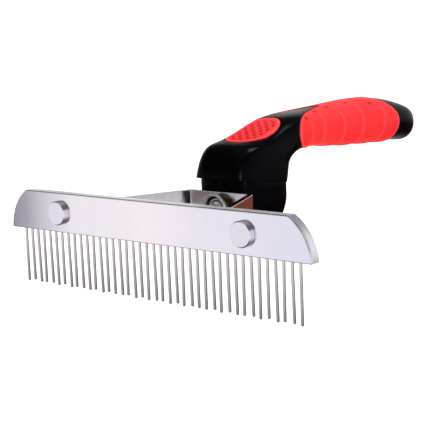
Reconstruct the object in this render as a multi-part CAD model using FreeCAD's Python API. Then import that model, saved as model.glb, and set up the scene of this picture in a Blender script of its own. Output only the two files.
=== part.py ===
"""Undercoat rake for pet grooming: a pin head on a bent strap, bolted to a moulded pistol-like handle.

Design frame, in millimetres: X runs along the head, Y runs back from the head's front face
towards the end of the handle, and Z runs up from the tips of the pins. On export everything
is moved forward, so that the origin is under the middle of the whole rake.
"""
import FreeCAD, Part
import math
import os

os.makedirs("parts", exist_ok=True)
Vec = FreeCAD.Vector

# ---- driving dimensions: head ----
HEAD_LENGTH = 160.0
HEAD_TOP_LENGTH = 140.0
HEAD_HEIGHT = 16.6
PIN_REACH = 23.6
PLATE_THICKNESS = 0.8
BAR_THICKNESS = 4.0
END_BULGE = 2.2
EDGE_ROUND = 0.2

# ---- driving dimensions: pins ----
PIN_COUNT = 40
PIN_SPAN = 147.4
PIN_RADIUS = 0.6
PIN_SET_BACK = 1.3
PIN_SEAT = 11.0
PIN_MAX_LEAN = 0.85
PIN_MAX_SHORTFALL = 0.7
PIN_LEAN_TURN = 2.4
PIN_LEAN_START = 0.7
PIN_SHORTFALL_TURN = 1.3
TIP_ROUND = 0.45

# ---- driving dimensions: buttons and what clamps them ----
BUTTON_X = 49.5
BUTTON_RADIUS = 5.05
BUTTON_HEIGHT = 1.4
BUTTON_BEVEL = 0.4
CAP_WASHER_HEIGHT = 0.6
CAP_WASHER_BEVEL = 0.25
POST_RADIUS = 2.6
POST_BORE = 1.5
REAR_HEAD_RADIUS = 3.9
REAR_HEAD_HEIGHT = 2.2
REAR_WASHER_RADIUS = 3.6
REAR_WASHER_HEIGHT = 0.9
REAR_HEAD_CHAMFER = 0.8
REAR_SHANK = 5.5
SLOT_WIDTH = 1.0
SLOT_DEPTH = 0.8
WASHER_SPLIT = 0.8
WASHER_PLAY = 0.1

# ---- driving dimensions: strap bracket and handle bolt ----
STRAP_THICKNESS = 2.3
STRAP_HEIGHT = 13.85
STRAP_FOOT_END_X = 57.0
STRAP_KNEE_X = 33.5
STRAP_CORNER_X = 16.2
STRAP_REAR_Y = 47.0
STRAP_INNER_BEND = 1.0
FOOT_CORNER = 4.0
BOLT_RADIUS = 3.0
BOLT_HEAD_RADIUS = 3.9
BOLT_HEAD_HEIGHT = 2.7
BOLT_END_Y = 65.0
BOLT_CHAMFER = 0.8
BOLT_HEAD_LIP = 0.3
CROWN_REACH_SHARE = 0.72
CROWN_FALL_SHARE = 0.30
HEX_ACROSS = 3.5
HEX_DEPTH = 1.3
CUP_RIM_RADIUS = 6.6
CUP_FLOOR_RADIUS = 5.4
CUP_DEPTH = 3.8
CUP_WALL = 0.8
BOLT_WASHER_RADIUS = 4.4
BOLT_WASHER_HEIGHT = 1.0
INSERT_RADIUS = 4.4
INSERT_LENGTH = 17.0
INSERT_GROOVE_DEPTH = 0.5
INSERT_GROOVE_WIDTH = 2.5
INSERT_GROOVE_STARTS = (4.0, 9.5)

# ---- driving dimensions: handle ----
HANDLE_END_Y = 190.4
HEEL_BOTTOM = 20.7
SHELL_THICKNESS = 1.4
SEAT_PLAY = 0.3
STEP_FRONT_Z = 42.9
STEP_SLOPE = -0.15
STEP_FRONT_Y = 43.0
PAD_CENTRE_Y = 68.8
PAD_HALF_LENGTH = 13.3
PAD_HALF_WIDTH = 10.2
PAD_BELOW_Z = 51.0
PAD_SQUARENESS = 2.3
PAD_GROOVE_WIDTH = 0.9
PAD_GROOVE_DEPTH = 0.7
HANDLE_REACH = 30.0
SECTION_POINTS = 18
FINE_STEPS = 720

# ---- how far a cut runs past the surface it opens, and how close counts as touching ----
PAST = 1.0
NEAR = 0.01
SEWING = 1e-4

# ---- worked out from the driving dimensions ----
HEAD_BOTTOM = PIN_REACH
HEAD_TOP = HEAD_BOTTOM + HEAD_HEIGHT
HEAD_BACK = PLATE_THICKNESS + BAR_THICKNESS
BUTTON_Z = HEAD_BOTTOM + HEAD_HEIGHT / 2
STRAP_BOTTOM = HEAD_BOTTOM
STRAP_TOP = STRAP_BOTTOM + STRAP_HEIGHT
BOLT_Z = STRAP_BOTTOM + STRAP_HEIGHT / 2
WALL_FRONT = STRAP_REAR_Y - STRAP_THICKNESS
CUP_INSIDE = WALL_FRONT - CUP_WALL
WASHER_FRONT = CUP_INSIDE - BOLT_WASHER_HEIGHT
FACE_Y = -(BUTTON_HEIGHT + CAP_WASHER_HEIGHT)
ORIGIN_SHIFT = Vec(0, -(FACE_Y + HANDLE_END_Y) / 2, 0)

# The handle's stations, neck first. Each holds the front or top point (y, z), the rear or
# under point (y, z), the half width, and how square the section is (2 is an ellipse).
ENVELOPE = [
    ((43.0, 36.5), (77.0, 33.5), 14.6, 5.0),
    ((43.0, 43.0), (77.5, 39.0), 14.6, 5.0),
    ((44.0, 47.5), (79.0, 42.5), 14.5, 4.5),
    ((50.0, 55.5), (81.5, 47.0), 14.2, 4.0),
    ((55.0, 57.0), (84.5, 48.5), 14.0, 3.5),
    ((63.0, 59.0), (89.0, 49.5), 13.5, 3.0),
    ((84.0, 65.0), (102.0, 50.5), 13.0, 3.0),
    ((99.0, 66.0), (111.0, 49.5), 12.7, 2.7),
    ((136.0, 67.5), (136.0, 47.0), 13.2, 2.4),
    ((155.0, 67.0), (150.5, 46.0), 13.0, 2.3),
    ((170.0, 64.5), (163.0, 45.0), 12.0, 2.3),
    ((180.0, 61.7), (173.5, 44.7), 10.5, 2.5),
    ((185.7, 59.5), (181.7, 44.0), 8.4, 2.4),
    ((188.8, 56.5), (187.2, 46.3), 6.0, 2.2),
    ((HANDLE_END_Y, 53.0), (HANDLE_END_Y, 50.0), 3.0, 2.0),
]
# The heel under the front overhang, bottom first, in the same form.
HEEL = [
    ((50.0, HEEL_BOTTOM), (69.5, HEEL_BOTTOM), 10.5, 3.5),
    ((47.0, 23.0), (74.0, 23.0), 13.2, 4.0),
    ((46.0, 27.5), (75.5, 26.5), 13.8, 4.5),
    ((46.0, 33.0), (76.6, 31.0), 14.2, 5.0),
    ((46.0, 38.0), (76.7, 35.0), 14.3, 5.0),
    ((46.0, 43.0), (76.7, 38.8), 14.2, 5.0),
]
# The core follows the envelope, drawn in, between these two stations.
CORE_FROM_STATION = 2
CORE_TO_STATION = 13
# The red sleeve's outline seen from the side (y, z): its front edge going up, then its rear edge.
SLEEVE_FRONT = [
    (97.0, 44.0),
    (95.0, 49.5),
    (86.5, 52.5),
    (84.5, 57.5),
    (86.5, 62.0),
    (91.0, 64.3),
    (99.5, 65.5),
    (107.5, 66.1),
    (114.5, 66.6),
    (126.0, 68.0),
]
SLEEVE_REAR = [
    (146.0, 69.0),
    (154.5, 66.2),
    (161.5, 62.0),
    (165.5, 56.5),
    (164.5, 50.5),
    (162.0, 45.0),
    (157.0, 41.0),
]


def save(name, shape):
    """Write one node, moved into the row frame, and say what it measures."""
    placed = shape.copy()
    placed.translate(ORIGIN_SHIFT)
    placed.exportStep("parts/" + name + ".step")
    box = placed.optimalBoundingBox()
    sizes = tuple(round(v, 2) for v in (box.XLength, box.YLength, box.ZLength))
    print(name, len(placed.Solids), placed.isValid(), round(placed.Volume, 1), sizes)


def along_y(radius, y_from, y_to, x=0.0, z=0.0):
    """A cylinder whose axis runs back along Y."""
    return Part.makeCylinder(radius, y_to - y_from, Vec(x, y_from, z), Vec(0, 1, 0))


def turned(profile, x, z):
    """Turn a closed (radius, y) profile about the line along Y through x and z."""
    points = [Vec(x + radius, y, z) for radius, y in profile]
    face = Part.Face(Part.makePolygon(points + points[:1]))
    return face.revolve(Vec(x, 0, z), Vec(0, 1, 0), 360)


# ---------------------------------------------------------------- head

def head_blank(y_from, y_to):
    """The head's outline: straight top and bottom, ends that curve in to a shorter top edge."""
    half, top_half = HEAD_LENGTH / 2, HEAD_TOP_LENGTH / 2
    middle_z = (HEAD_BOTTOM + HEAD_TOP) / 2 + END_BULGE / 2
    middle = Vec((half + top_half) / 2 + END_BULGE, y_from, middle_z)
    low = Vec(half, y_from, HEAD_BOTTOM)
    high = Vec(top_half, y_from, HEAD_TOP)
    low_left, middle_left, high_left = [Vec(-p.x, p.y, p.z) for p in (low, middle, high)]
    wire = Part.Wire([
        Part.LineSegment(low_left, low).toShape(),
        Part.Arc(low, middle, high).toShape(),
        Part.LineSegment(high, high_left).toShape(),
        Part.Arc(high_left, middle_left, low_left).toShape(),
    ])
    return Part.Face(wire).extrude(Vec(0, y_to - y_from, 0))


def button_places():
    return [(-BUTTON_X, BUTTON_Z), (BUTTON_X, BUTTON_Z)]


def drilled_for_posts(blank, y_from, y_to):
    for x, z in button_places():
        blank = blank.cut(along_y(POST_RADIUS, y_from - PAST, y_to + PAST, x, z))
    return blank


def front_plate():
    plate = head_blank(0, PLATE_THICKNESS)
    rims = [e for e in plate.Edges if e.BoundBox.YLength < NEAR]
    plate = plate.makeFillet(EDGE_ROUND, rims)
    return drilled_for_posts(plate, 0, PLATE_THICKNESS)


def pin_solid(number):
    """One pin: a round wire with a rounded tip, leaning a little in the plane of the row."""
    x = -PIN_SPAN / 2 + PIN_SPAN * number / (PIN_COUNT - 1)
    y = PLATE_THICKNESS + PIN_SET_BACK
    shortfall = PIN_MAX_SHORTFALL * math.sin(PIN_SHORTFALL_TURN * number) ** 2
    lean = PIN_MAX_LEAN * math.sin(PIN_LEAN_TURN * number + PIN_LEAN_START)
    length = PIN_REACH + PIN_SEAT - shortfall
    pin = Part.makeCylinder(PIN_RADIUS, length, Vec(x, y, shortfall), Vec(0, 0, 1))
    tip_edge = [e for e in pin.Edges if e.BoundBox.ZMax < shortfall + NEAR]
    pin = pin.makeFillet(TIP_ROUND, tip_edge)
    pin.rotate(Vec(x, y, HEAD_BOTTOM), Vec(0, 1, 0), lean)
    return pin


def pin_bar(pins):
    bar = head_blank(PLATE_THICKNESS, HEAD_BACK)
    rims = [e for e in bar.Edges if e.BoundBox.YLength < NEAR]
    bar = bar.makeFillet(EDGE_ROUND, rims)
    bar = drilled_for_posts(bar, PLATE_THICKNESS, HEAD_BACK)
    return bar.cut(pins)


# ---------------------------------------------------------------- buttons and rear screws

def cap_post(x, z):
    """A flat button on a hollow post that passes through the head and the strap's foot."""
    under = -CAP_WASHER_HEIGHT
    foot_back = HEAD_BACK + STRAP_THICKNESS
    return turned([
        (0, FACE_Y),
        (BUTTON_RADIUS - BUTTON_BEVEL, FACE_Y),
        (BUTTON_RADIUS, FACE_Y + BUTTON_BEVEL),
        (BUTTON_RADIUS, under - CAP_WASHER_BEVEL),
        (BUTTON_RADIUS - CAP_WASHER_BEVEL, under),
        (POST_RADIUS, under),
        (POST_RADIUS, foot_back),
        (POST_BORE, foot_back),
        (POST_BORE, 0),
        (0, 0),
    ], x, z)


def cap_washer(x, z):
    return turned([
        (POST_RADIUS, -CAP_WASHER_HEIGHT),
        (BUTTON_RADIUS - CAP_WASHER_BEVEL, -CAP_WASHER_HEIGHT),
        (BUTTON_RADIUS, -CAP_WASHER_HEIGHT + CAP_WASHER_BEVEL),
        (BUTTON_RADIUS, 0),
        (POST_RADIUS, 0),
    ], x, z)


def rear_lock_washer(x, z):
    """A split spring washer on the back of the strap's foot."""
    near = HEAD_BACK + STRAP_THICKNESS
    far = near + REAR_WASHER_HEIGHT
    ring = along_y(REAR_WASHER_RADIUS, near, far, x, z)
    ring = ring.cut(along_y(POST_BORE + WASHER_PLAY, near - PAST, far + PAST, x, z))
    start = Vec(x - WASHER_SPLIT / 2, near - PAST, z)
    deep = REAR_WASHER_HEIGHT + 2 * PAST
    return ring.cut(Part.makeBox(WASHER_SPLIT, deep, REAR_WASHER_RADIUS + PAST, start))


def rear_screw(x, z):
    """A slotted pan head screw that threads into the post from behind."""
    seat = HEAD_BACK + STRAP_THICKNESS + REAR_WASHER_HEIGHT
    end = seat + REAR_HEAD_HEIGHT
    screw = turned([
        (0, seat - REAR_SHANK),
        (POST_BORE, seat - REAR_SHANK),
        (POST_BORE, seat),
        (REAR_HEAD_RADIUS, seat),
        (REAR_HEAD_RADIUS, end - REAR_HEAD_CHAMFER),
        (REAR_HEAD_RADIUS - REAR_HEAD_CHAMFER, end),
        (0, end),
    ], x, z)
    start = Vec(x - REAR_HEAD_RADIUS - PAST, end - SLOT_DEPTH, z - SLOT_WIDTH / 2)
    wide = 2 * (REAR_HEAD_RADIUS + PAST)
    return screw.cut(Part.makeBox(wide, SLOT_DEPTH + PAST, SLOT_WIDTH, start))


def pair(maker):
    return Part.makeCompound([maker(x, z) for x, z in button_places()])


# ---------------------------------------------------------------- strap bracket

def corner(before, at, after, radius):
    """Start, middle and end of the arc that rounds a corner of a path."""
    into, out = (before - at).normalize(), (after - at).normalize()
    half_angle = into.getAngle(out) / 2
    reach = radius / math.tan(half_angle)
    bisector = (into + out).normalize()
    middle = at + bisector * (radius / math.sin(half_angle) - radius)
    return at + into * reach, middle, at + out * reach


def rounded_outline(points, radii):
    """A closed wire through flat points, with each corner rounded by its radius, or left sharp at 0."""
    count = len(points)
    arcs = [corner(points[k - 1], points[k], points[(k + 1) % count], radii[k]) for k in range(count)]
    edges = []
    for k in range(count):
        if radii[k]:
            edges.append(Part.Arc(*arcs[k]).toShape())
        edges.append(Part.LineSegment(arcs[k][2], arcs[(k + 1) % count][0]).toShape())
    return Part.Wire(edges)


def mirrored(points):
    return [Vec(-p.x, p.y, p.z) for p in reversed(points)]


def handle_bracket():
    """A hat-shaped strap: feet on the head's back, two slanting wings, a rear wall on the neck."""
    lean = math.atan2(STRAP_REAR_Y - HEAD_BACK, STRAP_KNEE_X - STRAP_CORNER_X)
    shift = STRAP_THICKNESS * math.tan(lean / 2) / 2
    foot_back = HEAD_BACK + STRAP_THICKNESS
    right_out = [
        Vec(STRAP_FOOT_END_X, foot_back, STRAP_BOTTOM),
        Vec(STRAP_KNEE_X + shift, foot_back, STRAP_BOTTOM),
        Vec(STRAP_CORNER_X + shift, STRAP_REAR_Y, STRAP_BOTTOM),
    ]
    right_in = [
        Vec(STRAP_CORNER_X - shift, WALL_FRONT, STRAP_BOTTOM),
        Vec(STRAP_KNEE_X - shift, HEAD_BACK, STRAP_BOTTOM),
        Vec(STRAP_FOOT_END_X, HEAD_BACK, STRAP_BOTTOM),
    ]
    outer_bend = STRAP_INNER_BEND + STRAP_THICKNESS
    out_radii = [0, STRAP_INNER_BEND, outer_bend]
    in_radii = [STRAP_INNER_BEND, outer_bend, 0]
    points = right_out + mirrored(right_out) + mirrored(right_in) + right_in
    radii = out_radii + out_radii[::-1] + in_radii[::-1] + in_radii
    wire = rounded_outline(points, radii)
    strap = Part.Face(wire).extrude(Vec(0, 0, STRAP_HEIGHT))
    across = [e for e in strap.Edges if e.BoundBox.YLength > STRAP_THICKNESS - NEAR]
    foot_corners = [e for e in across if abs(e.CenterOfMass.x) > STRAP_FOOT_END_X - NEAR]
    strap = strap.makeFillet(FOOT_CORNER, foot_corners)
    strap = drilled_for_posts(strap, HEAD_BACK, foot_back)
    return strap.cut(along_y(BOLT_RADIUS, WALL_FRONT - PAST, STRAP_REAR_Y + PAST, 0, BOLT_Z))


# ---------------------------------------------------------------- handle bolt and its seat

def bolt_cup():
    """A dished cup, open to the front, that seats on the strap's rear wall round the bolt."""
    rim = WALL_FRONT - CUP_DEPTH
    return turned([
        (BOLT_RADIUS, WALL_FRONT),
        (CUP_FLOOR_RADIUS, WALL_FRONT),
        (CUP_RIM_RADIUS, rim),
        (CUP_RIM_RADIUS - CUP_WALL, rim),
        (CUP_FLOOR_RADIUS - CUP_WALL, CUP_INSIDE),
        (BOLT_RADIUS, CUP_INSIDE),
    ], 0, BOLT_Z)


def bolt_lock_washer():
    """A split spring washer under the bolt's head."""
    ring = along_y(BOLT_WASHER_RADIUS, WASHER_FRONT, CUP_INSIDE, 0, BOLT_Z)
    hole = along_y(BOLT_RADIUS + WASHER_PLAY, WASHER_FRONT - PAST, WALL_FRONT, 0, BOLT_Z)
    start = Vec(0, WASHER_FRONT - PAST, BOLT_Z - WASHER_SPLIT / 2)
    deep = BOLT_WASHER_HEIGHT + 2 * PAST
    split = Part.makeBox(BOLT_WASHER_RADIUS + PAST, deep, WASHER_SPLIT, start)
    return ring.cut(hole).cut(split)


def handle_bolt():
    """A domed bolt with a hexagon socket; its shank screws into the insert in the neck."""
    dome_top = WASHER_FRONT - BOLT_HEAD_HEIGHT
    start = Vec(0, dome_top, BOLT_Z)
    rim = Vec(BOLT_HEAD_RADIUS, WASHER_FRONT - BOLT_HEAD_LIP, BOLT_Z)
    crown_y = dome_top + BOLT_HEAD_HEIGHT * CROWN_FALL_SHARE
    crown = Vec(BOLT_HEAD_RADIUS * CROWN_REACH_SHARE, crown_y, BOLT_Z)
    corners = [
        rim,
        Vec(BOLT_HEAD_RADIUS, WASHER_FRONT, BOLT_Z),
        Vec(BOLT_RADIUS, WASHER_FRONT, BOLT_Z),
        Vec(BOLT_RADIUS, BOLT_END_Y - BOLT_CHAMFER, BOLT_Z),
        Vec(BOLT_RADIUS - BOLT_CHAMFER, BOLT_END_Y, BOLT_Z),
        Vec(0, BOLT_END_Y, BOLT_Z),
        start,
    ]
    edges = [Part.Arc(start, crown, rim).toShape()]
    edges += [Part.LineSegment(a, b).toShape() for a, b in zip(corners, corners[1:])]
    bolt = Part.Face(Part.Wire(edges)).revolve(Vec(0, 0, BOLT_Z), Vec(0, 1, 0), 360)
    reach = HEX_ACROSS / math.sqrt(3)
    turns = [math.radians(60 * k) for k in range(7)]
    ring = [Vec(reach * math.cos(t), dome_top - PAST, BOLT_Z + reach * math.sin(t)) for t in turns]
    socket = Part.Face(Part.makePolygon(ring)).extrude(Vec(0, HEX_DEPTH + PAST, 0))
    return bolt.cut(socket)


def threaded_insert():
    """A grooved brass insert moulded into the neck round the bolt."""
    end = STRAP_REAR_Y + INSERT_LENGTH
    insert = along_y(INSERT_RADIUS, STRAP_REAR_Y, end, 0, BOLT_Z)
    insert = insert.cut(along_y(BOLT_RADIUS, STRAP_REAR_Y - PAST, end + PAST, 0, BOLT_Z))
    for offset in INSERT_GROOVE_STARTS:
        y = STRAP_REAR_Y + offset
        groove = along_y(INSERT_RADIUS + PAST, y, y + INSERT_GROOVE_WIDTH, 0, BOLT_Z)
        floor = along_y(INSERT_RADIUS - INSERT_GROOVE_DEPTH, y, y + INSERT_GROOVE_WIDTH, 0, BOLT_Z)
        insert = insert.cut(groove.cut(floor))
    return insert


# ---------------------------------------------------------------- handle

def half_section(front, rear, half_width, squareness):
    """Evenly spaced points round the right half of a section, from its front point to its rear one."""
    middle_y, middle_z = (front[0] + rear[0]) / 2, (front[1] + rear[1]) / 2
    reach_y, reach_z = (front[0] - rear[0]) / 2, (front[1] - rear[1]) / 2
    power = 2.0 / squareness
    fine = []
    for k in range(FINE_STEPS + 1):
        angle = math.pi * (0.5 - k / FINE_STEPS)
        across = abs(math.cos(angle)) ** power if 0 < k < FINE_STEPS else 0.0
        up = math.copysign(abs(math.sin(angle)) ** power, math.sin(angle))
        fine.append(Vec(half_width * across, middle_y + reach_y * up, middle_z + reach_z * up))
    travelled = [0.0]
    for a, b in zip(fine, fine[1:]):
        travelled.append(travelled[-1] + (b - a).Length)
    points = []
    k = 0
    for step in range(SECTION_POINTS + 1):
        wanted = travelled[-1] * step / SECTION_POINTS
        while k < FINE_STEPS - 1 and travelled[k + 1] < wanted:
            k += 1
        share = (wanted - travelled[k]) / (travelled[k + 1] - travelled[k])
        points.append(fine[k] + (fine[k + 1] - fine[k]) * share)
    return points


def inset(station, depth):
    """The same station, drawn in by a depth on every side."""
    front, rear, half_width, squareness = station
    span = math.dist(front, rear)
    step_y = (rear[0] - front[0]) * depth / span
    step_z = (rear[1] - front[1]) * depth / span
    new_front = (front[0] + step_y, front[1] + step_z)
    new_rear = (rear[0] - step_y, rear[1] - step_z)
    return (new_front, new_rear, half_width - depth, squareness)


def lofted(stations):
    """A smooth solid through the stations: a right half, its mirror image and two flat ends."""
    surface = Part.BSplineSurface()
    surface.interpolate([half_section(*station) for station in stations])
    first, last = surface.bounds()[:2]
    right = surface.toShape()
    faces = [right, right.mirror(Vec(0, 0, 0), Vec(1, 0, 0))]
    for end in (first, last):
        rim = surface.uIso(end).toShape()
        faces.append(Part.Face(Part.Wire([rim, rim.mirror(Vec(0, 0, 0), Vec(1, 0, 0))])))
    shell = Part.makeShell(faces)
    shell.sewShape(SEWING)
    solid = Part.makeSolid(shell)
    if solid.Volume < 0:
        solid.reverse()
    return solid


def side_prism(wire):
    """Extrude a wire drawn in the plane x = -HANDLE_REACH right across the handle."""
    return Part.Face(wire).extrude(Vec(2 * HANDLE_REACH, 0, 0))


def sleeve_region():
    """The side outline of the red sleeve: a bulging front edge and a bulging rear edge."""
    front, rear = Part.BSplineCurve(), Part.BSplineCurve()
    front.interpolate([Vec(-HANDLE_REACH, y, z) for y, z in SLEEVE_FRONT])
    rear.interpolate([Vec(-HANDLE_REACH, y, z) for y, z in SLEEVE_REAR])
    top = Part.LineSegment(front.EndPoint, rear.StartPoint)
    bottom = Part.LineSegment(rear.EndPoint, front.StartPoint)
    return side_prism(Part.Wire([c.toShape() for c in (front, top, rear, bottom)]))


def below_step():
    """Everything under the sloping lower edge of the black neck cover."""
    corners = []
    for y in (STEP_FRONT_Y - HANDLE_REACH, STEP_FRONT_Y + 2 * HANDLE_REACH):
        corners.append(Vec(-HANDLE_REACH, y, STEP_FRONT_Z + STEP_SLOPE * (y - STEP_FRONT_Y)))
    corners += [Vec(p.x, p.y, 0) for p in reversed(corners)]
    return side_prism(Part.makePolygon(corners + corners[:1]))


def pad_region(grow=0.0):
    """A slightly squared egg, seen from above, that cuts the thumb pad out of the top skin."""
    front = (PAD_CENTRE_Y - PAD_HALF_LENGTH - grow, PAD_BELOW_Z)
    rear = (PAD_CENTRE_Y + PAD_HALF_LENGTH + grow, PAD_BELOW_Z)
    half = half_section(front, rear, PAD_HALF_WIDTH + grow, PAD_SQUARENESS)
    rim = Part.BSplineCurve()
    rim.interpolate(half + [Vec(-p.x, p.y, p.z) for p in reversed(half[1:-1])], PeriodicFlag=True)
    return Part.Face(Part.Wire(rim.toShape())).extrude(Vec(0, 0, HANDLE_REACH))


def drawn_in(depth):
    """The envelope's stations that the core follows, drawn in by a depth."""
    return [inset(station, depth) for station in ENVELOPE[CORE_FROM_STATION:CORE_TO_STATION]]


def handle_parts():
    core = lofted(HEEL + drawn_in(SHELL_THICKNESS))
    skin = lofted(ENVELOPE).cut(core)
    sleeve = skin.common(sleeve_region())
    black = skin.cut(sleeve_region()).cut(below_step())
    pad = black.common(pad_region())
    groove = pad_region(PAD_GROOVE_WIDTH).cut(lofted(drawn_in(PAD_GROOVE_DEPTH)))
    black = black.cut(pad_region()).cut(groove)
    neck, butt = sorted(black.Solids, key=lambda s: s.CenterOfMass.y)[::len(black.Solids) - 1]
    seat_start = Vec(-HANDLE_REACH, STRAP_REAR_Y - HANDLE_REACH, 0)
    seat = Part.makeBox(2 * HANDLE_REACH, HANDLE_REACH, STRAP_TOP + SEAT_PLAY, seat_start)
    pocket = along_y(INSERT_RADIUS, WALL_FRONT, STRAP_REAR_Y + INSERT_LENGTH, 0, BOLT_Z)
    shank = along_y(BOLT_RADIUS, STRAP_REAR_Y, BOLT_END_Y, 0, BOLT_Z)
    return {
        "handle_core": core.cut(seat).cut(pocket).cut(shank),
        "neck_shell": neck,
        "butt_shell": butt,
        "grip_sleeve": sleeve,
        "thumb_pad": pad,
    }


def main():
    pins = [pin_solid(number) for number in range(PIN_COUNT)]
    for number, pin in enumerate(pins, start=1):
        save("pin_%02d" % number, pin)
    save("front_plate", front_plate())
    save("pin_bar", pin_bar(pins))
    save("cap_posts", pair(cap_post))
    save("cap_washers", pair(cap_washer))
    save("rear_lock_washers", pair(rear_lock_washer))
    save("rear_screws", pair(rear_screw))
    save("handle_bracket", handle_bracket())
    save("bolt_cup", bolt_cup())
    save("bolt_lock_washer", bolt_lock_washer())
    save("handle_bolt", handle_bolt())
    save("threaded_insert", threaded_insert())
    for name, shape in handle_parts().items():
        save(name, shape)


main()
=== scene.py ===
import math

import bpy
from mathutils import Matrix, Vector
from mathutils.bvhtree import BVHTree


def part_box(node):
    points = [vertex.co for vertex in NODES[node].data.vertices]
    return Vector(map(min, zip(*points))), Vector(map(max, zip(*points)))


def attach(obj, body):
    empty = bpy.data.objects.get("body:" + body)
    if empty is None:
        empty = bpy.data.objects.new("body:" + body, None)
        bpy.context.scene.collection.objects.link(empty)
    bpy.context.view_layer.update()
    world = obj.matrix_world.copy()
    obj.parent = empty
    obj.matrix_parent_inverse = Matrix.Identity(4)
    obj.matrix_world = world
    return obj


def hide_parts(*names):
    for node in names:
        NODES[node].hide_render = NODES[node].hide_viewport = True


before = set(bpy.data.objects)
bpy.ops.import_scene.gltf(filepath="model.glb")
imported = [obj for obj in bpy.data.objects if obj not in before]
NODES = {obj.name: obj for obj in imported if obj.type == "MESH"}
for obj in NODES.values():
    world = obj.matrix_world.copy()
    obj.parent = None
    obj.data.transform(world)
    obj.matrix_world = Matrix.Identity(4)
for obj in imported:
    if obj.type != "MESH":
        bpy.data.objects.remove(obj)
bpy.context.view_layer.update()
MM = 0.001
PLATE_LOW, PLATE_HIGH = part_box("front_plate")
# Design distances along the handle start at the head's front face.
HEAD_Y = PLATE_LOW.y


# ---------------------------------------------------------------- camera

LENS_MM, SENSOR_MM = 103.70, 36.0
NEAREST, FARTHEST = 0.01, 50.0
CAMERA_PLACE = Vector((0.330716, HEAD_Y - 0.336767, 0.115853))
CAMERA_AZIMUTH, CAMERA_DROP, CAMERA_ROLL = math.radians(41.24), math.radians(9.8), math.radians(-2.65)


def make_camera():
    data = bpy.data.cameras.new("camera")
    data.lens = LENS_MM
    data.sensor_width = SENSOR_MM
    data.clip_start, data.clip_end = NEAREST, FARTHEST
    camera = bpy.data.objects.new("camera", data)
    bpy.context.scene.collection.objects.link(camera)
    ahead = Vector((-math.sin(CAMERA_AZIMUTH) * math.cos(CAMERA_DROP),
                    math.cos(CAMERA_AZIMUTH) * math.cos(CAMERA_DROP), -math.sin(CAMERA_DROP)))
    level = ahead.cross(Vector((0, 0, 1))).normalized()
    upright = level.cross(ahead)
    right = math.cos(CAMERA_ROLL) * level + math.sin(CAMERA_ROLL) * upright
    up = -math.sin(CAMERA_ROLL) * level + math.cos(CAMERA_ROLL) * upright
    turn = Matrix((right, up, -ahead)).transposed()
    camera.matrix_world = Matrix.Translation(CAMERA_PLACE) @ turn.to_4x4()
    bpy.context.scene.camera = camera


# ---------------------------------------------------------------- node helpers

class Nodes:
    """Short calls for building a node tree."""

    def __init__(self, tree):
        self.tree = tree
        self.tree.nodes.clear()

    def node(self, kind, **settings):
        made = self.tree.nodes.new(kind)
        for key, value in settings.items():
            setattr(made, key, value)
        return made

    def link(self, source, target):
        self.tree.links.new(source, target)

    def span(self, source, low, high, to_low, to_high, smooth=False):
        made = self.node("ShaderNodeMapRange")
        if smooth:
            made.interpolation_type = "SMOOTHSTEP"
        for key, value in zip(("From Min", "From Max", "To Min", "To Max"), (low, high, to_low, to_high)):
            made.inputs[key].default_value = value
        self.link(source, made.inputs["Value"])
        return made.outputs[0]

    def ramp(self, source, stops):
        """Colours along a 0 to 1 value, from (position, colour) pairs in rising order."""
        made = self.node("ShaderNodeValToRGB")
        elements = made.color_ramp.elements
        for position, colour in stops[2:]:
            elements.new(position)
        for element, (position, colour) in zip(elements, stops):
            element.position = position
            element.color = (*colour, 1)
        self.link(source, made.inputs[0])
        return made.outputs[0]

    def blend(self, share, a, b):
        made = self.node("ShaderNodeMix", data_type="RGBA")
        self.link(share, made.inputs["Factor"])
        for socket, colour in ((made.inputs[6], a), (made.inputs[7], b)):
            if isinstance(colour, tuple):
                socket.default_value = (*colour, 1)
            else:
                self.link(colour, socket)
        return made.outputs[2]


class Maker(Nodes):
    """Short calls for building one node material on a single shader."""

    def __init__(self, name):
        self.material = bpy.data.materials.new(name)
        self.material.use_nodes = True
        super().__init__(self.material.node_tree)
        self.shader = self.node("ShaderNodeBsdfPrincipled")
        output = self.node("ShaderNodeOutputMaterial")
        self.link(self.shader.outputs[0], output.inputs["Surface"])
        self.place = self.node("ShaderNodeTexCoord").outputs["Object"]

    def stretched(self, scale):
        made = self.node("ShaderNodeMapping")
        made.inputs["Scale"].default_value = scale
        self.link(self.place, made.inputs["Vector"])
        return made.outputs[0]

    def noise(self, scale, detail=3.0, stretch=(1, 1, 1)):
        made = self.node("ShaderNodeTexNoise")
        made.inputs["Scale"].default_value = scale
        made.inputs["Detail"].default_value = detail
        self.link(self.stretched(stretch), made.inputs["Vector"])
        return made.outputs[0]

    def cells(self, scale):
        made = self.node("ShaderNodeTexVoronoi")
        made.inputs["Scale"].default_value = scale
        self.link(self.place, made.inputs["Vector"])
        return made.outputs["Distance"]

    def axis(self, which):
        made = self.node("ShaderNodeSeparateXYZ")
        self.link(self.place, made.inputs[0])
        return made.outputs[which]

    def attribute(self, name):
        return self.node("ShaderNodeAttribute", attribute_name=name).outputs["Fac"]

    def bump(self, height, distance, strength=1.0, under=None):
        made = self.node("ShaderNodeBump")
        made.inputs["Distance"].default_value = distance
        made.inputs["Strength"].default_value = strength
        self.link(height, made.inputs["Height"])
        if under is not None:
            self.link(under, made.inputs["Normal"])
        return made.outputs[0]

    def soft_edges(self, radius):
        made = self.node("ShaderNodeBevel", samples=6)
        made.inputs["Radius"].default_value = radius
        return made.outputs[0]

    def set(self, **values):
        for key, value in values.items():
            socket = self.shader.inputs[key.replace("_", " ")]
            if isinstance(value, bpy.types.NodeSocket):
                self.link(value, socket)
            else:
                socket.default_value = value
        return self.material


# ---------------------------------------------------------------- materials

EDGE_SHADE = 0.5 * MM
PIN_ROOT_Z = 0.024
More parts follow.
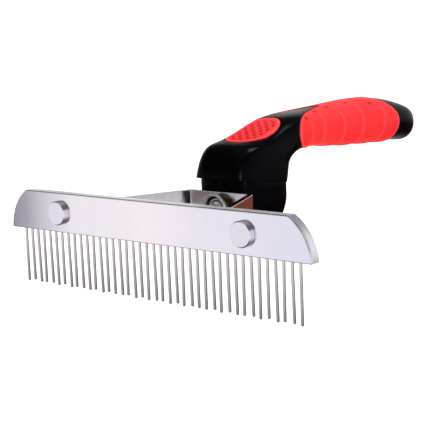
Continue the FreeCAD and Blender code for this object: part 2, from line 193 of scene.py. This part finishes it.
# Painted reflection along the head from left to right, tones up the pins, and painted shade from the cup's
# rim to its floor.
PLATE_PAINTED_REFLECTION = [
    (0.0, (0.30, 0.27, 0.33)),
    (0.06, (0.40, 0.37, 0.43)),
    (0.12, (0.60, 0.56, 0.64)),
    (0.24, (0.90, 0.84, 0.91)),
    (0.50, (0.95, 0.86, 0.93)),
    (0.72, (0.85, 0.80, 0.90)),
    (1.0, (0.78, 0.76, 0.89)),
]
PIN_TONES = [
    (0.0, (0.30, 0.28, 0.28)),
    (0.25, (0.42, 0.40, 0.40)),
    (0.65, (0.58, 0.56, 0.57)),
    (1.0, (0.76, 0.74, 0.76)),
]
CUP_PAINTED_SHADE = [
    (0.0, (0.90, 0.89, 0.91)),
    (0.22, (0.72, 0.70, 0.71)),
    (0.34, (0.10, 0.065, 0.055)),
    (1.0, (0.035, 0.022, 0.018)),
]
# Heights between which the painted sheen on the red fades in.
PAINTED_SHEEN_FROM_Z, PAINTED_SHEEN_TO_Z = 0.047, 0.063


def plate_material():
    """Bright polished plating: a painted reflection along the head, faint haze, wiping marks, painted shade
    along the long edges.
    """
    m = Maker("polished_plate")
    # Painted reflection: darkest at the head's left end, brightest in the middle, a little darker at the
    # right end.
    drift = m.span(m.axis(0), -0.080, 0.080, 0.0, 1.0)
    tone = m.ramp(drift, PLATE_PAINTED_REFLECTION)
    haze = m.span(m.noise(90, 4), 0.35, 0.7, 0.0, 0.08)
    colour = m.blend(haze, tone, (0.66, 0.64, 0.70))
    # Painted shade: a thin dark line along the plate's lower and upper long edges.
    for edge, inward in ((PLATE_LOW.z, EDGE_SHADE), (PLATE_HIGH.z, -EDGE_SHADE)):
        shade = m.span(m.axis(2), edge, edge + inward, 1.0, 0.0)
        colour = m.blend(shade, colour, (0.16, 0.15, 0.19))
    marks = m.noise(700, 2, (0.25, 1, 1.6))
    rough = m.span(m.noise(45, 5), 0.3, 0.75, 0.11, 0.20)
    normal = m.bump(marks, 0.000010, 0.3)
    return m.set(Base_Color=colour, Metallic=1.0, Roughness=rough, Normal=normal)


def bar_material():
    """Machined alloy with fine marks that run along the bar."""
    m = Maker("bar_alloy")
    haze = m.span(m.noise(120, 4), 0.3, 0.7, 0.0, 0.4)
    colour = m.blend(haze, (0.93, 0.91, 0.95), (0.80, 0.78, 0.83))
    marks = m.noise(900, 2, (0.12, 1, 1))
    rough = m.span(m.noise(60, 4), 0.3, 0.7, 0.30, 0.42)
    return m.set(Base_Color=colour, Metallic=1.0, Roughness=rough, Normal=m.bump(marks, 0.000015, 0.35))


def pin_material():
    """Drawn steel wire: die lines along the wire, a little darker and duller towards the tips."""
    m = Maker("pin_steel")
    height = m.span(m.axis(2), 0.0, PIN_ROOT_Z, 0.0, 1.0)
    tone = m.ramp(height, PIN_TONES)
    streaks = m.span(m.noise(1500, 3, (1, 1, 0.05)), 0.35, 0.65, 0.0, 0.25)
    colour = m.blend(streaks, tone, (0.30, 0.28, 0.28))
    rough = m.span(height, 0.0, 1.0, 0.36, 0.26)
    lines = m.noise(2200, 2, (1, 1, 0.03))
    return m.set(Base_Color=colour, Metallic=1.0, Roughness=rough, Normal=m.bump(lines, 0.00002, 0.4))


def button_material():
    """Plated buttons with a faint haze, fine marks and softened edges."""
    m = Maker("button_plate")
    haze = m.span(m.noise(150, 4), 0.3, 0.7, 0.0, 0.4)
    colour = m.blend(haze, (0.83, 0.77, 0.87), (0.72, 0.68, 0.77))
    rough = m.span(m.noise(200, 4), 0.3, 0.7, 0.14, 0.24)
    marks = m.noise(800, 2)
    return m.set(Base_Color=colour, Metallic=1.0, Roughness=rough,
                 Normal=m.bump(marks, 0.00001, 0.35, m.soft_edges(0.00015)))


def bracket_material():
    """Bent plated strip, with faint clouds in the plating and marks across the strip."""
    m = Maker("bracket_plate")
    haze = m.span(m.noise(110, 5), 0.35, 0.7, 0.0, 0.35)
    colour = m.blend(haze, (0.94, 0.93, 0.95), (0.76, 0.75, 0.78))
    marks = m.noise(600, 3, (1, 1, 0.15))
    rough = m.span(m.noise(70, 4), 0.3, 0.7, 0.10, 0.20)
    return m.set(Base_Color=colour, Metallic=1.0, Roughness=rough,
                 Normal=m.bump(marks, 0.00002, 0.3, m.soft_edges(0.0005)))


def cup_material():
    """Plated cup: bright at the rim, with painted shade that darkens it towards its floor."""
    m = Maker("cup_plate")
    low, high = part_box("bolt_cup")
    depth = m.span(m.axis(1), low.y, high.y, 0.0, 1.0)
    # Painted shade: the colour darkens from the rim down to the cup's floor.
    tone = m.ramp(depth, CUP_PAINTED_SHADE)
    smear = m.span(m.noise(500, 4), 0.45, 0.75, 0.0, 0.5)
    colour = m.blend(smear, tone, (0.16, 0.11, 0.09))
    rough = m.span(m.noise(300, 3), 0.3, 0.7, 0.16, 0.30)
    return m.set(Base_Color=colour, Metallic=1.0, Roughness=rough,
                 Normal=m.bump(m.noise(700, 2), 0.00002, 0.3, m.soft_edges(0.0002)))


def fastener_material():
    """Bright zinc with small stains."""
    m = Maker("fastener_steel")
    stain = m.span(m.noise(260, 5), 0.4, 0.75, 0.0, 0.7)
    colour = m.blend(stain, (0.80, 0.79, 0.80), (0.42, 0.41, 0.43))
    rough = m.span(m.noise(300, 4), 0.3, 0.7, 0.18, 0.36)
    return m.set(Base_Color=colour, Metallic=1.0, Roughness=rough,
                 Normal=m.bump(m.noise(900, 2), 0.00003, 0.4, m.soft_edges(0.0002)))


def brass_material():
    """Dull brass with darker stains."""
    m = Maker("insert_brass")
    stain = m.span(m.noise(300, 4), 0.35, 0.7, 0.0, 0.6)
    colour = m.blend(stain, (0.78, 0.60, 0.28), (0.48, 0.35, 0.15))
    return m.set(Base_Color=colour, Metallic=1.0, Roughness=m.span(m.noise(200, 3), 0.3, 0.7, 0.25, 0.42))


def black_material(name, low_rough, high_rough, grain, radius):
    """Moulded black plastic: a fine grain, faint flow marks and softened edges."""
    m = Maker(name)
    flow = m.span(m.noise(25, 4, (1, 0.35, 1)), 0.3, 0.7, 0.0, 1.0)
    colour = m.blend(flow, (0.0003, 0.0003, 0.0005), (0.0012, 0.0012, 0.0020))
    rough = m.span(m.noise(60, 5), 0.3, 0.7, low_rough, high_rough)
    fine = m.bump(m.cells(2600), grain, 0.5, m.soft_edges(radius))
    return m.set(Base_Color=colour, Roughness=rough, Normal=fine, Specular_IOR_Level=0.025,
                 Specular_Tint=(0.82, 0.85, 1.0, 1.0))


def red_material():
    """Soft red rubber: a painted sheen that makes it paler higher up, paler on the raised rims, a painted
    highlight along the ribs, and painted shade in the dimples and notches.
    """
    m = Maker("red_soft")
    cloud = m.span(m.noise(35, 5), 0.3, 0.7, 0.0, 1.0)
    upper = m.blend(cloud, (0.95, 0.038, 0.044), (0.90, 0.024, 0.030))
    lower = m.blend(cloud, (0.80, 0.0015, 0.002), (0.72, 0.001, 0.0015))
    # Painted sheen: the red is paler and pinker higher up the handle.
    colour = m.blend(m.span(m.axis(2), PAINTED_SHEEN_FROM_Z, PAINTED_SHEEN_TO_Z, 0.0, 1.0), lower, upper)
    # Paler on the raised rims, and a painted highlight along the ribs.
    colour = m.blend(m.attribute("raised"), colour, (0.98, 0.075, 0.085))
    # Painted shade in the dimples and notches.
    colour = m.blend(m.attribute("sunk"), colour, (0.16, 0.001, 0.002))
    rough = m.span(m.noise(80, 4), 0.3, 0.7, 0.46, 0.60)
    grain = m.bump(m.cells(1900), 0.00005, 0.35)
    return m.set(Base_Color=colour, Roughness=rough, Normal=grain, Specular_IOR_Level=0.12)


# ---------------------------------------------------------------- surfaces read from the frame

HALVINGS = 22


class Skin:
    """The joined surface of several nodes, which knows which node a ray meets first."""

    def __init__(self, *names):
        points, faces, self.owners = [], [], []
        for name in names:
            mesh = NODES[name].data
            start = len(points)
            points += [v.co.copy() for v in mesh.vertices]
            faces += [[start + i for i in p.vertices] for p in mesh.polygons]
            self.owners += [name] * len(mesh.polygons)
        self.tree = BVHTree.FromPolygons(points, faces)

    def hit(self, start, ray, reach):
        """Place, normal and node of the first hit, or three times None."""
        place, normal, index, _ = self.tree.ray_cast(start, ray, reach)
        return (place, normal, self.owners[index]) if place else (None, None, None)


def edge_between(inside, outside, belongs):
    """Narrow down where a test stops being true between two values."""
    for _ in range(HALVINGS):
        middle = (inside + outside) / 2
        if belongs(middle):
            inside = middle
        else:
            outside = middle
    return inside


def closed_tube(points, rings, around, first_tip, last_tip):
    """Faces of a grid of rings, closed at both ends by a point inside the part."""
    first, last = len(points), len(points) + 1
    points += [first_tip, last_tip]
    faces = []
    for i in range(rings - 1):
        for j in range(around):
            a, b = i * around + j, i * around + (j + 1) % around
            faces.append((a, b, b + around, a + around))
    top = (rings - 1) * around
    for j in range(around):
        after = (j + 1) % around
        faces.append((first, after, j))
        faces.append((last, top + j, top + after))
    return faces


def mesh_piece(name, points, faces, material, replaced):
    mesh = bpy.data.meshes.new(name)
    mesh.from_pydata(points, [], faces)
    mesh.validate()
    mesh.update()
    for face in mesh.polygons:
        face.use_smooth = True
    piece = bpy.data.objects.new(name, mesh)
    bpy.context.scene.collection.objects.link(piece)
    mesh.materials.append(material)
    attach(piece, "root")
    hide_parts(*replaced)
    return piece


def store(piece, name, values):
    made = piece.data.attributes.new(name, "FLOAT", "POINT")
    made.data.foreach_set("value", values)


def hump(distance, half_width):
    """1 at no distance, falling smoothly to 0."""
    return math.exp(-(distance / half_width) ** 2)


def smooth_step(value, low, high):
    share = min(1.0, max(0.0, (value - low) / (high - low)))
    return share * share * (3 - 2 * share)


# ---------------------------------------------------------------- red sleeve

SLEEVE_MIDDLE_Y = HEAD_Y + 0.125
SLEEVE_ROUND, SLEEVE_ALONG = 240, 230
SLEEVE_SEARCH = 55 * MM
SLEEVE_RADIUS = 12.5 * MM
CAST_REACH = 50 * MM
AXIS_START, AXIS_HEIGHT, AXIS_FALL = 85.0, 58.3, 0.045
PROUD = 0.20 * MM
LIP_SINK, LIP_WIDTH = 0.70 * MM, 0.5 * MM
RIM_AT, RIM_WIDTH, RIM_RAISE = 0.9 * MM, 0.65 * MM, 0.16 * MM
# The third number here is how strongly the ribs paint a highlight into the sleeve's colour.
RIB_RAISE, RIB_HALF, RIB_PAINTED_HIGHLIGHT = 0.46 * MM, 1.05 * MM, 0.42
# Each rib: distance along the handle at its top end and at the side, and how high round the side it starts.
RIBS = [(92.5, 93.6, 28), (103.4, 102.8, 47), (114.8, 118.4, 58), (129.5, 132.9, 61), (144.5, 150.8, 46)]
RIB_FADE = 16
RIB_BEND = 1.25
NOTCH_DEPTH, NOTCH_LONG, NOTCH_WIDE = 0.75 * MM, 1.0 * MM, 0.8 * MM
CALM_EDGE, FULL_RIBS = 1.2 * MM, 3.0 * MM


def sleeve_axis(y):
    """Height of the sleeve's middle line at y."""
    return (AXIS_HEIGHT - AXIS_FALL * ((y - HEAD_Y) / MM - AXIS_START)) * MM


def outward_hit(skin, y, angle):
    """The outermost point of the handle in a direction across it, its normal and its node."""
    ray = Vector((math.cos(angle), 0, math.sin(angle)))
    far = Vector((0, y, sleeve_axis(y))) + ray * CAST_REACH
    return skin.hit(far, -ray, CAST_REACH)


def sleeve_edge(skin, angle, direction):
    """How far along the handle the sleeve reaches at this angle."""
    def on_sleeve(y):
        return outward_hit(skin, y, angle)[2] == "grip_sleeve"
    return edge_between(SLEEVE_MIDDLE_Y, SLEEVE_MIDDLE_Y + direction * SLEEVE_SEARCH, on_sleeve)


def rib_height(y, angle):
    """How raised by ribs, and how sunk by the notches at their top ends, a place is."""
    above = math.degrees(math.atan2(math.sin(angle), abs(math.cos(angle))))
    raised, sunk = 0.0, 0.0
    for top_y, side_y, start in RIBS:
        turn = math.radians(min(90.0, abs(above) * RIB_BEND))
        bulge = (side_y - top_y) * math.cos(turn) if above < start else 0.0
        line = HEAD_Y + (top_y + bulge) * MM
        strength = 1.0 - smooth_step(above, start - RIB_FADE, start)
        raised = max(raised, strength * hump(y - line, RIB_HALF))
        off = math.radians(above - start) * SLEEVE_RADIUS
        along = y - (HEAD_Y + top_y * MM)
        sunk = max(sunk, math.exp(-(along / NOTCH_LONG) ** 2 - (off / NOTCH_WIDE) ** 2))
    return raised, sunk


def make_sleeve(material, skin):
    angles = [2 * math.pi * j / SLEEVE_ROUND for j in range(SLEEVE_ROUND)]
    edges = [(sleeve_edge(skin, a, -1), sleeve_edge(skin, a, 1)) for a in angles]
    smoothed = []
    for j in range(SLEEVE_ROUND):
        near = [edges[(j + k) % SLEEVE_ROUND] for k in (-1, 0, 1)]
        smoothed.append((sum(e[0] for e in near) / 3, sum(e[1] for e in near) / 3))
    points, raised_values, painted_shade_values = [], [], []
    for i in range(SLEEVE_ALONG + 1):
        for angle, (first, last) in zip(angles, smoothed):
            y = first + (last - first) * i / SLEEVE_ALONG
            place, normal, _ = outward_hit(skin, y, angle)
            inward = min(y - first, last - y)
            raised, sunk = rib_height(y, angle)
            fade = smooth_step(inward, CALM_EDGE, FULL_RIBS)
            rim = hump(inward - RIM_AT, RIM_WIDTH)
            lip = smooth_step(inward, 0.0, LIP_WIDTH)
            lift = PROUD * lip - LIP_SINK * (1 - lip)
            lift += RIM_RAISE * rim + RIB_RAISE * raised * fade - NOTCH_DEPTH * sunk * fade
            points.append(place + normal * lift)
            # Paler on the rim, and a painted highlight along the ribs.
            raised_values.append(min(1.0, 0.8 * rim + RIB_PAINTED_HIGHLIGHT * raised * fade))
            # Painted shade in the notches at the ribs' top ends.
            painted_shade_values.append(min(1.0, 0.85 * sunk * fade))
    tips = []
    for column in (0, 1):
        y = sum(edge[column] for edge in smoothed) / SLEEVE_ROUND
        tips.append(Vector((0, y, sleeve_axis(y))))
    faces = closed_tube(points, SLEEVE_ALONG + 1, SLEEVE_ROUND, *tips)
    piece = mesh_piece("grip_sleeve_soft", points, faces, material, ["grip_sleeve"])
    store(piece, "raised", raised_values + [0.0, 0.0])
    store(piece, "sunk", painted_shade_values + [0.0, 0.0])


# ---------------------------------------------------------------- thumb pad

PAD_RINGS, PAD_SPOKES = 110, 220
PAD_SEARCH = 20 * MM
PAD_CAST_FROM, PAD_CAST_REACH = 100 * MM, 60 * MM
PAD_HUB = 0.004
PAD_WALL, PAD_WALL_WIDTH = 0.85 * MM, 0.35 * MM
PAD_PROUD = 0.10 * MM
PAD_FIELD_SINK = 0.22 * MM
PAD_BORDER = 1.9 * MM
PAD_RIM_AT, PAD_RIM_WIDTH = 1.0 * MM, 0.75 * MM
FIELD_FROM, FIELD_TO = PAD_BORDER - 0.5 * MM, PAD_BORDER + 0.3 * MM
DOTS_FROM, DOTS_TO = PAD_BORDER + 0.2 * MM, PAD_BORDER + 1.2 * MM
PAD_DEEP = 2.5 * MM
DOT_ALONG, DOT_ACROSS = 4.3 * MM, 2.05 * MM
DOT_HALF_ALONG, DOT_HALF_ACROSS = 1.05 * MM, 0.62 * MM
DOT_DEPTH = 0.55 * MM


def downward_hit(skin, x, y):
    return skin.hit(Vector((x, y, PAD_CAST_FROM)), Vector((0, 0, -1)), PAD_CAST_REACH)


def dot_depth(x, y, middle_y):
    """Staggered oval dimples."""
    deepest = 0.0
    row = round(x / DOT_ACROSS)
    for k in (row - 1, row, row + 1):
        shift = DOT_ALONG / 2 if k % 2 else 0.0
        column = round((y - middle_y - shift) / DOT_ALONG)
        off_y = y - middle_y - shift - column * DOT_ALONG
        off_x = x - k * DOT_ACROSS
        reach = (off_y / DOT_HALF_ALONG) ** 2 + (off_x / DOT_HALF_ACROSS) ** 2
        deepest = max(deepest, math.exp(-reach ** 1.5))
    return deepest


def make_pad(material, skin):
    low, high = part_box("thumb_pad")
    middle_y = (low.y + high.y) / 2
    turns = [2 * math.pi * j / PAD_SPOKES for j in range(PAD_SPOKES)]

    def pad_reach(turn):
        def on_pad(reach):
            x, y = math.cos(turn) * reach, middle_y + math.sin(turn) * reach
            return downward_hit(skin, x, y)[2] == "thumb_pad"
        return edge_between(0.0, PAD_SEARCH, on_pad)

    reaches = [pad_reach(turn) for turn in turns]
    points, raised_values, painted_shade_values = [], [], []
    for i in range(PAD_RINGS, -1, -1):
        for turn, full in zip(turns, reaches):
            reach = full * max(i / PAD_RINGS, PAD_HUB)
            x, y = math.cos(turn) * reach, middle_y + math.sin(turn) * reach
            place, normal, _ = downward_hit(skin, x, y)
            inward = full - reach
            field = smooth_step(inward, FIELD_FROM, FIELD_TO)
            rim = hump(inward - PAD_RIM_AT, PAD_RIM_WIDTH)
            dots = dot_depth(x, y, middle_y) * smooth_step(inward, DOTS_FROM, DOTS_TO)
            lift = PAD_PROUD - PAD_WALL * (1 - smooth_step(inward, 0.0, PAD_WALL_WIDTH))
            lift -= PAD_FIELD_SINK * field + DOT_DEPTH * dots
            points.append(place + normal * lift)
            raised_values.append(min(1.0, 0.9 * rim))
            # Painted shade in the dimples.
            painted_shade_values.append(min(1.0, 0.95 * dots))
    under = Vector((0, middle_y, low.z - PAD_DEEP))
    top = sum(points[-PAD_SPOKES:], Vector()) / PAD_SPOKES
    faces = closed_tube(points, PAD_RINGS + 1, PAD_SPOKES, under, top)
    piece = mesh_piece("thumb_pad_soft", points, faces, material, ["thumb_pad"])
    store(piece, "raised", raised_values + [0.0, 0.0])
    store(piece, "sunk", painted_shade_values + [0.0, 0.0])


# ---------------------------------------------------------------- floor, background and lights

FLOOR_HALF = 20.0
FLOOR_GREY, FLOOR_GLOW = 0.6, 0.78


def make_floor():
    """A plain pale table, bright enough to meet the white background, and not seen in polished metal."""
    mesh = bpy.data.meshes.new("floor")
    corners = [(x * FLOOR_HALF, y * FLOOR_HALF, 0) for x, y in ((-1, -1), (1, -1), (1, 1), (-1, 1))]
    mesh.from_pydata(corners, [], [(0, 1, 2, 3)])
    floor = bpy.data.objects.new("floor", mesh)
    bpy.context.scene.collection.objects.link(floor)
    material = bpy.data.materials.new("floor_paper")
    material.use_nodes = True
    shader = material.node_tree.nodes["Principled BSDF"]
    shader.inputs["Base Color"].default_value = (FLOOR_GREY, FLOOR_GREY, FLOOR_GREY, 1)
    shader.inputs["Roughness"].default_value = 0.9
    shader.inputs["Specular IOR Level"].default_value = 0.0
    shader.inputs["Emission Color"].default_value = (1, 1, 1, 1)
    shader.inputs["Emission Strength"].default_value = FLOOR_GLOW
    mesh.materials.append(material)
    floor.visible_glossy = False


BEHIND = Vector((0.40, 0.92, 0.0)).normalized()
BROWN = (0.16, 0.040, 0.020)
BACK_RISE = 0.18
SOFT_LEVEL = 0.80


def grey(level):
    return (level, level, level)


# What polished metal sees: the lower half from the front to the back of the room, then the upper half
# by height, then how the two meet and how dark it is straight below.
LOWER_HALF = [(0.0, grey(0.97)), (0.70, grey(0.93)), (0.82, grey(0.60)), (0.90, BROWN), (1.0, BROWN)]
UPPER_HALF = [(0.0, grey(0.90)), (0.32, grey(0.90)), (0.44, grey(0.16)), (0.80, grey(0.13)),
              (0.93, grey(0.50)), (1.0, grey(0.60))]
HORIZON_LOW, HORIZON_HIGH = -0.16, -0.06
PIT_LOW, PIT_HIGH, PIT_GREY = -0.80, -0.45, 0.10


def make_world():
    """White to the camera, even light on soft surfaces, and a banded studio for polished ones."""
    world = bpy.data.worlds.new("studio")
    bpy.context.scene.world = world
    world.use_nodes = True
    n = Nodes(world.node_tree)
    direction = n.node("ShaderNodeTexCoord").outputs["Generated"]
    parts = n.node("ShaderNodeSeparateXYZ")
    n.link(direction, parts.inputs[0])
    height = parts.outputs[2]
    facing = n.node("ShaderNodeVectorMath", operation="DOT_PRODUCT")
    facing.inputs[1].default_value = BEHIND
    n.link(direction, facing.inputs[0])
    behind = n.span(facing.outputs["Value"], -1.0, 1.0, 0.0, 1.0)
    below = n.ramp(behind, LOWER_HALF)
    tilted = n.node("ShaderNodeMath", operation="MULTIPLY_ADD")
    n.link(facing.outputs["Value"], tilted.inputs[0])
    tilted.inputs[1].default_value = -BACK_RISE
    n.link(height, tilted.inputs[2])
    above = n.ramp(tilted.outputs[0], UPPER_HALF)
    banded = n.blend(n.span(height, HORIZON_LOW, HORIZON_HIGH, 0.0, 1.0, smooth=True), below, above)
    banded = n.blend(n.span(height, PIT_LOW, PIT_HIGH, 1.0, 0.0, smooth=True), banded, grey(PIT_GREY))
    path = n.node("ShaderNodeLightPath")
    lit = n.node("ShaderNodeBackground")
    n.link(n.blend(path.outputs["Is Glossy Ray"], grey(SOFT_LEVEL), banded), lit.inputs[0])
    shown = n.node("ShaderNodeBackground")
    shown.inputs[0].default_value = (1, 1, 1, 1)
    mixed = n.node("ShaderNodeMixShader")
    n.link(path.outputs["Is Camera Ray"], mixed.inputs[0])
    n.link(lit.outputs[0], mixed.inputs[1])
    n.link(shown.outputs[0], mixed.inputs[2])
    n.link(mixed.outputs[0], n.node("ShaderNodeOutputWorld").inputs[0])


def soft_light(name, place, target, width, height, power):
    data = bpy.data.lights.new(name, "AREA")
    data.shape = "RECTANGLE"
    data.size, data.size_y = width, height
    data.energy = power
    light = bpy.data.objects.new(name, data)
    bpy.context.scene.collection.objects.link(light)
    light.location = place
    light.rotation_mode = "QUATERNION"
    light.rotation_quaternion = (Vector(target) - Vector(place)).to_track_quat("-Z", "Y")
    return light


def make_lights(dark_pieces):
    """One soft light from above, and two that only shine on the black plastic."""
    overhead = soft_light("overhead", (0.10, 0.10, 1.0), (0, 0, 0.04), 0.9, 0.9, 5)
    overhead.visible_glossy = False
    shined = bpy.data.collections.new("shined")
    for piece in dark_pieces:
        shined.objects.link(piece)
    neck = (0, HEAD_Y + 0.06, 0.05)
    above = soft_light("shine_above", (0.32, 0.26, 1.0), neck, 0.45, 0.45, 14)
    corner = soft_light("shine_corner", (0.50, -0.62, 0.16), neck, 0.08, 0.25, 5)
    for light in (above, corner):
        light.light_linking.receiver_collection = shined


# ---------------------------------------------------------------- put together

def dress(names, material):
    for name in names:
        piece = NODES[name]
        piece.data.materials.clear()
        piece.data.materials.append(material)


BLACK_PIECES = ["handle_core", "neck_shell", "butt_shell"]
SKIN = Skin("grip_sleeve", "thumb_pad", "neck_shell", "butt_shell")
RED = red_material()

make_camera()
bpy.context.scene.view_settings.view_transform = "Standard"
make_floor()
make_world()
make_lights([NODES[name] for name in BLACK_PIECES])

dress(["front_plate"], plate_material())
dress(["pin_bar"], bar_material())
dress([n for n in NODES if n.startswith("pin_") and n != "pin_bar"], pin_material())
dress(["cap_posts", "cap_washers"], button_material())
dress(["handle_bracket"], bracket_material())
dress(["bolt_cup"], cup_material())
dress(["rear_screws", "rear_lock_washers", "bolt_lock_washer", "handle_bolt"], fastener_material())
dress(["threaded_insert"], brass_material())
dress(["handle_core"], black_material("black_core", 0.20, 0.28, 0.00003, 0.0008))
dress(["neck_shell", "butt_shell"], black_material("black_cover", 0.17, 0.25, 0.00002, 0.0006))
dress(["grip_sleeve", "thumb_pad"], RED)
make_sleeve(RED, SKIN)
make_pad(RED, SKIN)
